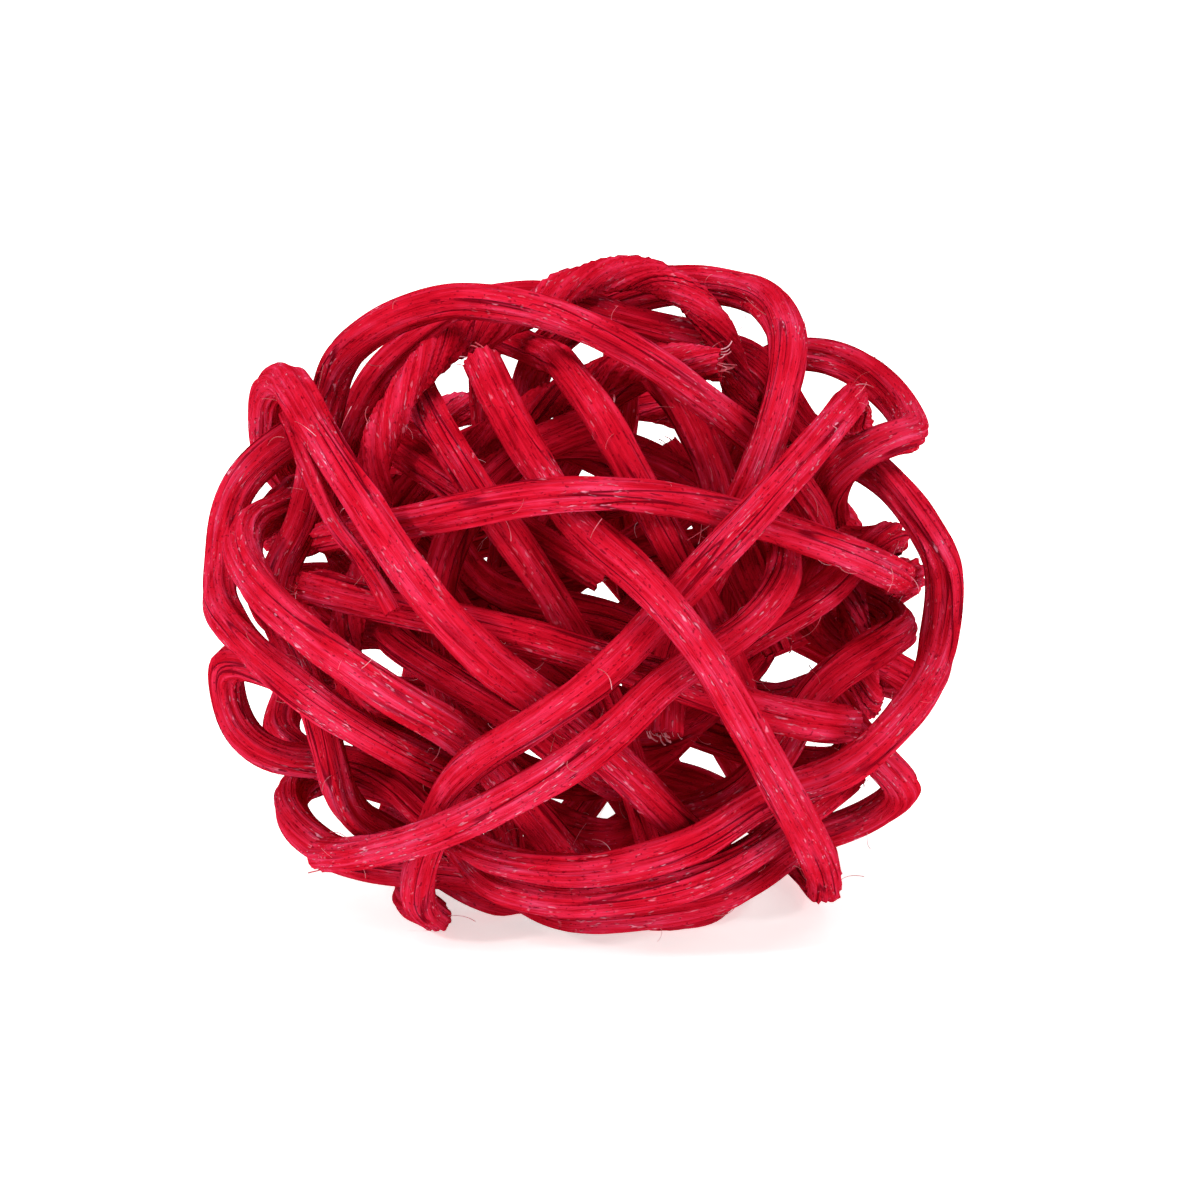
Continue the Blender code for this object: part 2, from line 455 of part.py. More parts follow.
def main():
    """Settles the canes and makes each one a solid."""
    for leftover in list(bpy.data.objects):
        bpy.data.objects.remove(leftover, do_unlink=True)
    material = dyed_rattan()
    radii = [thickness / 2 for thickness, _ in CANES.values()]
    routes = [
        stretches_of(smooth_route(stops, order))
        for order, (_, stops) in enumerate(CANES.values())
    ]
    turn = np.array(tip_turn())
    lines = [line @ turn.T for line in Winding(routes, radii).settle()]
    points = np.vstack(lines)
    middle = (points.min(axis=0) + points.max(axis=0)) / 2
    base = np.array([middle[0], middle[1], -STAND_HEIGHT])
    for name, line, radius in zip(CANES, lines, radii):
        mesh = cane_mesh(name, line - base, radius, 0.0)
        mesh.materials.append(material)
        bpy.context.scene.collection.objects.link(bpy.data.objects.new(name, mesh))


main()
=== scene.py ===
"""The looks of a small decorative ball wound from crimson-dyed rattan core.

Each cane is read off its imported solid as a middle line, drawn again as a ribbed, slightly
uneven rod, and dressed in dyed cane. Loose fibres stand off the canes and their cut ends.
"""

import logging
import math
from collections.abc import Iterable
from dataclasses import dataclass, field
from enum import Enum

import bpy
import numpy as np
from mathutils import Matrix, Vector


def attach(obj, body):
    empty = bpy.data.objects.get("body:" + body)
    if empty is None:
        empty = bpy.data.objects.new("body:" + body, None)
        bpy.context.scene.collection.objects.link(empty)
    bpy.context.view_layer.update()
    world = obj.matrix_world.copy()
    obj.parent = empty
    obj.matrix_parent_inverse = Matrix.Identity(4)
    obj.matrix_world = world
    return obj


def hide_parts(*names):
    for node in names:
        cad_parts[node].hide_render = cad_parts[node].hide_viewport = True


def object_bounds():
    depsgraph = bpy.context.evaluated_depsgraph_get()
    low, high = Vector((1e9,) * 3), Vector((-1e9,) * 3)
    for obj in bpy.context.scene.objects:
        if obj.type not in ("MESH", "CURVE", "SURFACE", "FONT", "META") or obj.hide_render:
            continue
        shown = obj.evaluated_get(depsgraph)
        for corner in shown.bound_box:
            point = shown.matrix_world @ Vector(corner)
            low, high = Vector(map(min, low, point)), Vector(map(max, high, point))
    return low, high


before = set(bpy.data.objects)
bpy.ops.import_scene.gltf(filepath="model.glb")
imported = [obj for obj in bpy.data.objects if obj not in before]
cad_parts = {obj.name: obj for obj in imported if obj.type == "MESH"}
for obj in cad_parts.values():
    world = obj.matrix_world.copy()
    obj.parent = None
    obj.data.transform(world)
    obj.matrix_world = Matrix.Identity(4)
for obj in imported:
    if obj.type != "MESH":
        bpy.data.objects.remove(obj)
CAD_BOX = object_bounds()

LOG = logging.getLogger("rattan_ball")
MM = 0.001
PHOTO_SIDE_PX = 1200
# The photographed ball: its middle, and the pixels to one millimetre of it.
BALL_MIDDLE_PX = (583.0, 600.5)
PX_PER_MM = 14.54
# The drawn face is the one the camera sees: tipped back, with its middle this far up.
TIP_BACK = math.radians(15.0)
FACE_MIDDLE_UP = 21.6 * MM
# A middle line's points are this far apart, and its bends are rounded this far along it.
LINE_STEP = 0.55 * MM
LINE_EASE = 1.5 * MM
KNOT_POINTS = 16


class Wind(Enum):
    """How a cane's fibres lie: along it, or turning round it where it was twisted."""

    STRAIGHT = 0.0
    TWISTED = 0.42


class Tint(Enum):
    """The dye and what shows through it, as sRGB hex."""

    SHADE = "#7A020D"
    DEEP = "#A0081A"
    BODY = "#B41026"
    BRIGHT = "#C22240"
    WORN = "#CA3F62"
    # Painted highlight: the pale pink of the glints.
    GLINT_HIGHLIGHT = "#EE93AC"
    VESSEL = "#5A000C"
    FIBRE = "#C98490"
    PAPER = "#FBFBFA"

    def linear(self) -> tuple[float, float, float, float]:
        """The colour as Blender's linear values.

        Returns:
            Red, green, blue and full alpha.
        """
        parts = [int(self.value[i : i + 2], 16) / 255 for i in (1, 3, 5)]
        return (*[p / 12.92 if p <= 0.04045 else ((p + 0.055) / 1.055) ** 2.4 for p in parts], 1.0)


def put(tree: bpy.types.NodeTree, kind: str, inputs: dict | None = None, **settings) -> bpy.types.Node:
    """Adds a node with its settings and links.

    Args:
        tree: the node tree, of a material or of geometry.
        kind: the node's type name.
        inputs: values or output sockets, by the name or number of the input.
        settings: the node's own properties.

    Returns:
        The new node.
    """
    node = tree.nodes.new(kind)
    for name, value in settings.items():
        setattr(node, name, value)
    for name, value in (inputs or {}).items():
        socket = node.inputs[name]
        if isinstance(value, bpy.types.NodeSocket):
            tree.links.new(value, socket)
        else:
            socket.default_value = value
    return node


def ramp(node: bpy.types.Node, stops: Iterable[tuple[float, tuple]]) -> None:
    """Sets a colour ramp's stops.

    Args:
        node: the Color Ramp node.
        stops: each stop's place and colour, lowest first.
    """
    elements = node.color_ramp.elements
    stops = list(stops)
    while len(elements) < len(stops):
        elements.new(1.0)
    for element, (place, colour) in zip(elements, stops):
        element.position = place
        element.color = colour


def box_middle() -> np.ndarray:
    """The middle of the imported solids' box, in metres."""
    return np.mean(CAD_BOX, axis=0)


@dataclass(frozen=True)
class Band:
    """A range of a value, and what it is turned into from one end to the other.

    Attributes:
        start: where the range starts.
        end: where it ends.
        first: the result at the start and before it.
        last: the result at the end and after it.
    """

    start: float
    end: float
    first: float = 0.0
    last: float = 1.0

    def of(self, tree: bpy.types.NodeTree, value: bpy.types.NodeSocket) -> bpy.types.NodeSocket:
        """Adds the node that turns a value into the result.

        Args:
            tree: the node tree, of a material or of geometry.
            value: the value.

        Returns:
            The result.
        """
        return put(tree, "ShaderNodeMapRange", {
            "Value": value, "From Min": self.start, "From Max": self.end,
            "To Min": self.first, "To Max": self.last,
        }).outputs["Result"]


@dataclass(frozen=True)
class DyedRattan:
    """Rattan core, peeled, drawn round, sanded and dyed crimson.

    The core is a bundle of straight fibres with open vessels. Its dye soaks in deep between
    the ribs and rubs off pinkish on them, and the cut vessels show as short dark lines. Painted
    shade darkens the canes deep in the ball, and painted glints stand in for highlights on the
    outer ones.

    Attributes:
        name: the material's name.
        streak_width_mm, streak_length_mm: the size of a streak of fibres.
        split_spacing_mm, split_length_mm: how far apart the drying splits are, and how long.
        vessel_width_mm, vessel_length_mm: the size of a cut vessel.
        blotch_mm: the size of a patch of worn dye.
        glint_mm: how wide a painted glint is.
        pore_mm: how wide an open pore is.
        split_edge: how dark a split is, by how far the noise is from its middle.
        split_open: how far a split shows, by a slower noise.
        vessel_cut, pore_cut: how dark the marks are, by their noises.
        glint_cut, glint_patch: how strong a painted glint is, by its noise and by its patch.
        sheen: the roughness, by the streaks.
        relief: how deep the bumps are, in metres.
        dye_and_shade_stops: the colour for each level, from the least rubbed to the most; its dark end
            is also painted shade deep in the ball.
    """

    name: str = "dyed_rattan_core"
    streak_width_mm: float = 0.30
    streak_length_mm: float = 7.0
    split_spacing_mm: float = 1.3
    split_length_mm: float = 30.0
    vessel_width_mm: float = 0.17
    vessel_length_mm: float = 1.4
    blotch_mm: float = 4.0
    glint_mm: float = 0.18
    pore_mm: float = 0.15
    split_edge: Band = Band(0.005, 0.018, 1.0, 0.0)
    split_open: Band = Band(0.42, 0.56, 0.0, 0.75)
    vessel_cut: Band = Band(0.25, 0.31, 0.6, 0.0)
    pore_cut: Band = Band(0.22, 0.27, 0.5, 0.0)
    glint_cut: Band = Band(0.63, 0.73, 0.0, 0.75)
    glint_patch: Band = Band(0.47, 0.60)
    sheen: Band = Band(0.3, 0.7, 0.60, 0.28)
    relief: float = 0.20 * MM
    dye_and_shade_stops: tuple[tuple[float, Tint], ...] = (
        (0.43, Tint.SHADE), (0.51, Tint.DEEP), (0.60, Tint.BODY), (0.70, Tint.BRIGHT),
        (0.80, Tint.WORN),
    )

    def build(self) -> bpy.types.Material:
        """The material, read from the canes' own grain and from how far out on the ball a spot is,
        which sets painted shade, wear and painted glints.

        Returns:
            The finished material.
        """
        material = bpy.data.materials.new(self.name)
        material.use_nodes = True
        tree = material.node_tree
        shader = tree.nodes["Principled BSDF"]
        grain = put(tree, "ShaderNodeAttribute", attribute_name="grain").outputs["Vector"]
        outer_wear_and_light = put(tree, "ShaderNodeAttribute", attribute_name="outer_wear_and_light").outputs["Fac"]
        place = put(tree, "ShaderNodeTexCoord").outputs["Object"]

        streaks = self.along_grain(tree, grain, self.streak_width_mm, self.streak_length_mm, 3.0)
        fine = self.along_grain(tree, grain, self.streak_width_mm / 3, self.streak_length_mm / 2, 2.0)
        blotches = put(tree, "ShaderNodeTexNoise", {
            "Vector": place, "Scale": 1000 / self.blotch_mm, "Detail": 3.0, "Roughness": 0.55,
        }).outputs["Fac"]
        splits = self.splits(tree, grain)
        vessels = self.vessels(tree, grain)
        glints = self.glints(tree, grain, outer_wear_and_light, blotches)
        pores = self.pores(tree, grain)

        # How rubbed a spot is, in uneven patches and along the ribs, together with painted shade:
        # spots deep in the ball are painted darker, and those farther out paler.
        wear_and_shade = self.weighed(tree, (
            (streaks, 0.50), (fine, 0.22), (blotches, 0.34), (outer_wear_and_light, 0.11),
        ))
        dye = put(tree, "ShaderNodeValToRGB", {"Fac": wear_and_shade})
        ramp(dye, ((stop, tint.linear()) for stop, tint in self.dye_and_shade_stops))
        marks = put(tree, "ShaderNodeMath", {0: splits, 1: vessels}, operation="MAXIMUM").outputs[0]
        marks = put(tree, "ShaderNodeMath", {0: marks, 1: pores}, operation="MAXIMUM").outputs[0]
        lined = put(tree, "ShaderNodeMix", {
            "Factor": marks, "A": dye.outputs["Color"], "B": Tint.VESSEL.linear(),
        }, data_type="RGBA")
        # Painted highlights: pale pink flecks on the outer canes stand in for glints of light.
        glinted = put(tree, "ShaderNodeMix", {
            "Factor": glints, "A": lined.outputs["Result"], "B": Tint.GLINT_HIGHLIGHT.linear(),
        }, data_type="RGBA")
        # Ribs and the painted glints stand up, and splits, vessels and pores are sunk.
        height = self.weighed(tree, (
            (streaks, 1.6), (fine, 0.7), (splits, -1.0), (vessels, -0.6), (pores, -0.5), (glints, 0.8),
        ))
        bump = put(tree, "ShaderNodeBump", {
            "Strength": 1.0, "Distance": self.relief, "Height": height,
        })
        links = tree.links
        links.new(glinted.outputs["Result"], shader.inputs["Base Color"])
        links.new(self.sheen.of(tree, streaks), shader.inputs["Roughness"])
        links.new(bump.outputs["Normal"], shader.inputs["Normal"])
        # Rough fibre has none of the white edge that a smooth surface shows at a glancing look.
        shader.inputs["Specular IOR Level"].default_value = 0.0
        return material

    @staticmethod
    def weighed(
        tree: bpy.types.NodeTree, parts: Iterable[tuple[bpy.types.NodeSocket, float]],
    ) -> bpy.types.NodeSocket:
        """The sum of some values, each times its weight.

        Args:
            tree: the material's tree.
            parts: each value and its weight.

        Returns:
            The sum.
        """
        total = 0.0
        for value, weight in parts:
            total = put(tree, "ShaderNodeMath", {0: value, 1: weight, 2: total},
                        operation="MULTIPLY_ADD").outputs[0]
        return total

    def splits(self, tree: bpy.types.NodeTree, grain: bpy.types.NodeSocket) -> bpy.types.NodeSocket:
        """Long drying splits between the fibres, that come and go along the cane.

        Args:
            tree: the material's tree.
            grain: the place round and along the cane, in millimetres.

        Returns:
            How dark the split is, and 0 beside it.
        """
        noise = self.along_grain(tree, grain, self.split_spacing_mm, self.split_length_mm, 1.0)
        off = put(tree, "ShaderNodeMath", {0: noise, 1: 0.5}, operation="SUBTRACT")
        far = put(tree, "ShaderNodeMath", {0: off.outputs[0]}, operation="ABSOLUTE")
        slower = self.along_grain(
            tree, grain, self.split_spacing_mm * 2, self.split_length_mm / 3, 0.0
        )
        return put(tree, "ShaderNodeMath", {
            0: self.split_edge.of(tree, far.outputs[0]), 1: self.split_open.of(tree, slower),
        }, operation="MULTIPLY").outputs[0]

    def vessels(self, tree: bpy.types.NodeTree, grain: bpy.types.NodeSocket) -> bpy.types.NodeSocket:
        """Short cut vessels, as fine dark dashes.

        Args:
            tree: the material's tree.
            grain: the place round and along the cane, in millimetres.

        Returns:
            How dark the dash is, and 0 beside it.
        """
        noise = self.along_grain(tree, grain, self.vessel_width_mm, self.vessel_length_mm, 1.0)
        return self.vessel_cut.of(tree, noise)

    def pores(self, tree: bpy.types.NodeTree, grain: bpy.types.NodeSocket) -> bpy.types.NodeSocket:
        """Open pores, a little longer than wide, as dark dots.

        Args:
            tree: the material's tree.
            grain: the place round and along the cane, in millimetres.

        Returns:
            How dark the dot is, and 0 beside it.
        """
        noise = self.along_grain(tree, grain, self.pore_mm, self.pore_mm * 1.6, 0.0)
        return self.pore_cut.of(tree, noise)

    def glints(
        self, tree: bpy.types.NodeTree, grain: bpy.types.NodeSocket,
        outer_wear_and_light: bpy.types.NodeSocket, blotches: bpy.types.NodeSocket,
    ) -> bpy.types.NodeSocket:
        """Painted glints: pale pink flecks, in patches on the outer canes, that stand in for
        highlights.

        Args:
            tree: the material's tree.
            grain: the place round and along the cane, in millimetres.
            outer_wear_and_light: how far out on the ball a spot is, from 0 to 1.
            blotches: the noise that says where the patches are.

        Returns:
            How much of the painted glint's colour shows, and 0 beside it.
        """
        noise = self.along_grain(tree, grain, self.glint_mm, self.glint_mm * 4, 1.0)
        glint = put(tree, "ShaderNodeMath", {
            0: self.glint_cut.of(tree, noise), 1: self.glint_patch.of(tree, blotches),
        }, operation="MULTIPLY")
        return put(tree, "ShaderNodeMath", {0: glint.outputs[0], 1: outer_wear_and_light},
                   operation="MULTIPLY").outputs[0]

    @staticmethod
    def along_grain(
        tree: bpy.types.NodeTree, grain: bpy.types.NodeSocket, across_mm: float, along_mm: float,
        detail: float,
    ) -> bpy.types.NodeSocket:
        """Noise drawn out along the fibres.

        Args:
            tree: the material's tree.
            grain: the place round and along the cane, in millimetres.
            across_mm: how wide a streak is.
            along_mm: how long a streak is.
            detail: the noise's detail.

        Returns:
            The noise's value, from 0 to 1.
        """
        stretched = put(tree, "ShaderNodeMapping", {
            "Vector": grain, "Scale": (1 / across_mm, 1 / across_mm, 1 / along_mm),
        })
        return put(tree, "ShaderNodeTexNoise", {
            "Vector": stretched.outputs["Vector"], "Scale": 1.0, "Detail": detail, "Roughness": 0.6,
        }).outputs["Fac"]


@dataclass(frozen=True)
class LooseFibre:
    """Torn rattan fibre: pale inside and stained pink.

    Attributes:
        name: the material's name.
        patch_mm: how far apart pale and red fibres are.
    """

    name: str = "torn_rattan_fibre"
    patch_mm: float = 2.5

    def build(self) -> bpy.types.Material:
        """The material, paler and redder from fibre to fibre.

        Returns:
            The finished material.
        """
        material = bpy.data.materials.new(self.name)
        material.use_nodes = True
        tree = material.node_tree
        shader = tree.nodes["Principled BSDF"]
        place = put(tree, "ShaderNodeTexCoord").outputs["Object"]
        noise = put(tree, "ShaderNodeTexNoise", {
            "Vector": place, "Scale": 1000 / self.patch_mm, "Detail": 1.0,
        })
        tone = put(tree, "ShaderNodeValToRGB", {"Fac": noise.outputs["Fac"]})
        ramp(tone, [
            (0.38, Tint.DEEP.linear()), (0.52, Tint.BRIGHT.linear()), (0.66, Tint.FIBRE.linear()),
        ])
        tree.links.new(tone.outputs["Color"], shader.inputs["Base Color"])
        shader.inputs["Roughness"].default_value = 0.5
        shader.inputs["Sheen Weight"].default_value = 0.3
        return material


class Tree:
    """A Geometry Nodes tree with named inputs, used as a modifier on a maker object."""

    def __init__(self, name: str, inputs: dict[str, tuple[str, object]]) -> None:
        """Starts the tree.

        Args:
            name: the tree's name.
            inputs: each input's socket type and starting value, by name.
        """
        self.tree = bpy.data.node_groups.new(name, "GeometryNodeTree")
        face = self.tree.interface
        face.new_socket("Geometry", in_out="INPUT", socket_type="NodeSocketGeometry")
        self.keys = {}
        for title, (kind, value) in inputs.items():
            socket = face.new_socket(title, in_out="INPUT", socket_type=kind)
            if value is not None:
                socket.default_value = value
            self.keys[title] = socket.identifier
        face.new_socket("Geometry", in_out="OUTPUT", socket_type="NodeSocketGeometry")
        self.given = self.tree.nodes.new("NodeGroupInput").outputs

    def add(self, kind: str, inputs: dict | None = None, **settings) -> bpy.types.Node:
        """Adds a node to this tree.

        Args:
            kind: the node's type name.
            inputs: values or output sockets, by the name or number of the input.
            settings: the node's own properties.

        Returns:
            The new node.
        """
        return put(self.tree, kind, inputs, **settings)

    def end(self, geometry: bpy.types.NodeSocket) -> None:
        """Realizes the instances, sets the material and closes the tree.

        Args:
            geometry: the finished geometry.
        """
        real = self.add("GeometryNodeRealizeInstances", {"Geometry": geometry})
        clad = self.add("GeometryNodeSetMaterial", {
            "Geometry": real.outputs["Geometry"], "Material": self.given["Material"],
        })
        self.add("NodeGroupOutput", {"Geometry": clad.outputs["Geometry"]})

    def run(self, name: str, data: bpy.types.ID, values: dict[str, object]) -> bpy.types.Object:
        """Runs the tree on some data and keeps the result as a plain mesh.

        Args:
            name: the finished piece's name.
            data: the curve or mesh that the tree starts from.
            values: the inputs' values, by name.

        Returns:
            The piece, with its place in its mesh.
        """
        maker = bpy.data.objects.new(f"{name}_maker", data)
        bpy.context.scene.collection.objects.link(maker)
        modifier = maker.modifiers.new("make", "NODES")
        modifier.node_group = self.tree
        for title, value in values.items():
            modifier[self.keys[title]] = value
        graph = bpy.context.evaluated_depsgraph_get()
        mesh = bpy.data.meshes.new_from_object(maker.evaluated_get(graph), depsgraph=graph)
        maker.modifiers.clear()
        bpy.data.objects.remove(maker, do_unlink=True)
        mesh.name = name
        piece = bpy.data.objects.new(name, mesh)
        bpy.context.scene.collection.objects.link(piece)
        return piece


def keep(piece: bpy.types.Object) -> None:
    """Gives a finished piece its body.

    Args:
        piece: the piece, in its place.
    """
    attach(piece, "root")
    LOG.info("%s: %d faces", piece.name, len(piece.data.polygons))


def smooth_line(knots: np.ndarray) -> np.ndarray:
    """A smooth, evenly spaced line near some points, with its bends rounded.

    Args:
        knots: the points to pass near, in metres.

    Returns:
        The line's points.
    """
    knots = np.vstack([2 * knots[0] - knots[1], knots, 2 * knots[-1] - knots[-2]])
    steps = np.linspace(0, 1, KNOT_POINTS, endpoint=False)[:, None]
    fine = np.vstack([
        *(0.5 * (2 * b + (c - a) * steps + (2 * a - 5 * b + 4 * c - d) * steps**2
                 + (3 * b - a - 3 * c + d) * steps**3)
          for a, b, c, d in zip(knots, knots[1:], knots[2:], knots[3:])),
        knots[-2:-1],
    ])
    fine = evenly(fine)
    for _ in range(round(2 * (LINE_EASE / LINE_STEP) ** 2)):
        fine[1:-1] += 0.5 * ((fine[:-2] + fine[2:]) / 2 - fine[1:-1])
    return evenly(fine)


def evenly(line: np.ndarray) -> np.ndarray:
    """The line again, with its points the same distance apart.

    Args:
        line: the line's points.

    Returns:
        The new points, with the same two ends.
    """
    along = np.insert(np.cumsum(np.linalg.norm(np.diff(line, axis=0), axis=1)), 0, 0)
    wanted = np.linspace(0, along[-1], math.ceil(along[-1] / LINE_STEP) + 1)
    return np.stack([np.interp(wanted, along, line[:, axis]) for axis in range(3)], axis=1)


def drawn_line(name: str, points: np.ndarray) -> bpy.types.Curve:
    """The points as a curve.

    Args:
        name: the piece that the curve is for.
        points: the line's points, in metres.

    Returns:
        The curve, one straight stretch from point to point.
    """
    curve = bpy.data.curves.new(f"{name}_line", "CURVE")
    curve.dimensions = "3D"
    spline = curve.splines.new("POLY")
    spline.points.add(len(points) - 1)
    spline.points.foreach_set("co", np.insert(points, 3, 1.0, axis=1).ravel())
    return curve


@dataclass
class CaneLine:
    """The middle line of one cane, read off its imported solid.

    Attributes:
        node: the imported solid's name.
        sides: how many facets its rings have.
        weld: how near two corners are to count as one, in metres.
        faces_down: how far a face points down when it lies on the floor and is no cut end.
        one_plane: how nearly two faces point the same way when they lie in one plane.
        end_reach: how many points of the line tell which way a cut end faces.
        radius: the cane's radius, in metres.
        points: the smooth line's points, in metres.
    """

    node: str
    sides: int = 7
    weld: float = 0.002 * MM
    faces_down: float = 0.999
    one_plane: float = 0.99999
    end_reach: int = 4
    radius: float = field(init=False)
    points: np.ndarray = field(init=False)

    def __post_init__(self) -> None:
        """Reads the rings and draws the smooth line."""
        rings = self.rings()
        centres = np.array([ring.mean(axis=0) for ring in rings])
        self.radius = float(np.median([
            np.linalg.norm(ring - centre, axis=1).mean() for ring, centre in zip(rings, centres)
        ]))
        self.points = smooth_line(centres)

    def rings(self) -> list[np.ndarray]:
        """The solid's rings of corners, from one cut end to the other.

        Returns:
            Each ring's corners, in metres.
        """
        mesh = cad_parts[self.node].data
        corners = np.array([v.co for v in mesh.vertices])
        _, first, same = np.unique(
            np.round(corners / self.weld), axis=0, return_index=True, return_inverse=True
        )
        corners = corners[first]
        same = same.reshape(-1)
        faces = [tuple(int(same[i]) for i in p.vertices) for p in mesh.polygons]
        near: list[set[int]] = [set() for _ in corners]
        for face in faces:
            for corner in face:
                near[corner].update(face)
        ring = self.first_ring(corners, faces)
        seen, rings = set(ring), [ring]
        while True:
            ring = {n for corner in ring for n in near[corner]} - seen
            if not ring:
                break
            seen |= ring
            rings.append(ring)
        return [corners[sorted(ring)] for ring in rings]

    def first_ring(self, corners: np.ndarray, faces: list[tuple[int, ...]]) -> set[int]:
        """The corners of one cut end: its flat cap has one face fewer than it has corners.

        Args:
            corners: the solid's corners.
            faces: its triangles, as corner numbers.

        Returns:
            The cap's corner numbers.
        """
        triples = np.array(faces)
        a, b, c = corners[triples[:, 0]], corners[triples[:, 1]], corners[triples[:, 2]]
        normals = np.cross(b - a, c - a)
        normals /= np.maximum(np.linalg.norm(normals, axis=1), 1e-15)[:, None]
        by_corner: dict[int, list[int]] = {}
        for number, face in enumerate(faces):
            for corner in face:
                by_corner.setdefault(corner, []).append(number)
        for start in range(len(faces)):
            if normals[start][2] < -self.faces_down:
                continue
            group, front = {start}, [start]
            while front:
                here = front.pop()
                for corner in faces[here]:
                    for other in by_corner[corner]:
                        turned = normals[other] @ normals[start]
                        if other not in group and turned > self.one_plane:
                            group.add(other)
                            front.append(other)
            cap = {corner for number in group for corner in faces[number]}
            if len(group) == self.sides - 2 and len(cap) == self.sides:
                return cap
        raise ValueError(f"{self.node} has no flat cut end")

    def ends(self) -> list[tuple[np.ndarray, np.ndarray]]:
        """The two cut ends.

        Returns:
            Each end's middle, and the way it faces.
        """
        first = self.points[0] - self.points[self.end_reach]
        last = self.points[-1] - self.points[-1 - self.end_reach]
        return [
            (self.points[0], first / np.linalg.norm(first)),
            (self.points[-1], last / np.linalg.norm(last)),
        ]


@dataclass(frozen=True)
class Relief:
    """One size of unevenness of a cane.

    Attributes:
        title: the tree's input that says how high it is.
        round_count: how many stand across the cane.
        per_mm: how quickly they change along it.
    """

    title: str
    round_count: float
    per_mm: float


@dataclass
class Canes:
    """The wound canes, ribbed and uneven as drawn rattan core is.

    Attributes:
        sides: how many facets a cane has.
        lump_mm, rib_mm, fine_rib_mm: how high each size of unevenness is.
        core_share: the rod's share of its solid's thickness.
        twisted: the canes whose fibres turn round them.
        twisted_rib_mm: how high the ribs of those are.
        reliefs: the three sizes of unevenness.
        outer_wear_and_light: how far out on the ball a spot is, by its distance from the middle in
            metres; the material reads it for painted shade deep in the ball and for the outer canes'
            paler wear and painted glints.
        seed_step: how far along its noise each cane starts after the one before it.
        lines: the canes' middle lines, by their solids.
        pieces: the finished canes, by their solids.
    """

    sides: int = 48
    lump_mm: float = 0.70
    rib_mm: float = 0.85
    fine_rib_mm: float = 0.50
    # The ribs stand proud of the rod, so that the cane is as thick over them as its solid.
    core_share: float = 0.88
    twisted: tuple[str, ...] = ("cane_crown",)
    twisted_rib_mm: float = 1.2
    reliefs: tuple[Relief, ...] = (
        Relief("Lumps", 0.7, 0.11), Relief("Ribs", 2.6, 0.045), Relief("Fine ribs", 7.5, 0.10),
    )
    # Painted shade: canes deeper in the ball are painted darker, and the outer ones rubbed paler.
    outer_wear_and_light: Band = Band(14 * MM, 25.5 * MM)
    seed_step: float = 400.0
    lines: dict[str, CaneLine] = field(default_factory=dict)
    pieces: dict[str, bpy.types.Object] = field(default_factory=dict)

    def tree(self) -> Tree:
        """The tree that turns a middle line into a ribbed cane.

        Returns:
            The tree, with its sizes as named inputs.
        """
        made = Tree("ribbed_cane", {
            "Radius": ("NodeSocketFloat", 1.45 * MM), "Sides": ("NodeSocketInt", self.sides),
            "Lumps": ("NodeSocketFloat", self.lump_mm), "Ribs": ("NodeSocketFloat", self.rib_mm),
            "Fine ribs": ("NodeSocketFloat", self.fine_rib_mm), "Twist": ("NodeSocketFloat", 0.0),
            "Seed": ("NodeSocketFloat", 0.0), "Middle": ("NodeSocketVector", (0.0, 0.0, 0.0)),
            "Material": ("NodeSocketMaterial", None),
        })
        add, given = made.add, made.given
        where = add("GeometryNodeSplineParameter")
        line = add("GeometryNodeCaptureAttribute", {"Geometry": given["Geometry"]})
        line.capture_items.new("FLOAT", "Along")
        made.tree.links.new(where.outputs["Length"], line.inputs["Along"])
        circle = add("GeometryNodeCurvePrimitiveCircle", {
            "Resolution": given["Sides"], "Radius": given["Radius"],
        })
        profile = add("GeometryNodeCaptureAttribute", {"Geometry": circle.outputs["Curve"]})
        profile.capture_items.new("FLOAT", "Round")
        made.tree.links.new(where.outputs["Factor"], profile.inputs["Round"])
        tube = add("GeometryNodeCurveToMesh", {
            "Curve": line.outputs["Geometry"], "Profile Curve": profile.outputs["Geometry"],
            "Fill Caps": True,
        })
        along = add("ShaderNodeMath", {
            0: line.outputs["Along"], 1: 1000.0,
        }, operation="MULTIPLY")
        turned = add("ShaderNodeMath", {
            0: along.outputs[0], 1: given["Twist"],
        }, operation="MULTIPLY")
        angle = add("ShaderNodeMath", {
            0: profile.outputs["Round"], 1: 2 * math.pi, 2: turned.outputs[0],
        }, operation="MULTIPLY_ADD")
        across = add("ShaderNodeMath", {0: angle.outputs[0]}, operation="COSINE")
        up = add("ShaderNodeMath", {0: angle.outputs[0]}, operation="SINE")
        shifted = add("ShaderNodeMath", {0: along.outputs[0], 1: given["Seed"]}, operation="ADD")
        round_it = (across.outputs[0], up.outputs[0])
        normal = add("GeometryNodeInputNormal")
        push = add("ShaderNodeVectorMath", {
            0: normal.outputs["Normal"], "Scale": self.height(made, round_it, shifted.outputs[0]),
        }, operation="SCALE")
        ribbed = add("GeometryNodeSetPosition", {
            "Geometry": tube.outputs["Mesh"], "Offset": push.outputs[0],
        })
        # Worn flat where it stands.
        spot = add("GeometryNodeInputPosition")
        stands = add("ShaderNodeVectorMath", {
            0: spot.outputs[0], 1: (-1.0, -1.0, 0.0),
        }, operation="MAXIMUM")
        flat = add("GeometryNodeSetPosition", {
            "Geometry": ribbed.outputs["Geometry"], "Position": stands.outputs[0],
        })
        marked = self.marked(made, flat.outputs["Geometry"], round_it, shifted.outputs[0])
        soft = add("GeometryNodeSetShadeSmooth", {"Geometry": marked})
        made.end(soft.outputs["Geometry"])
        return made

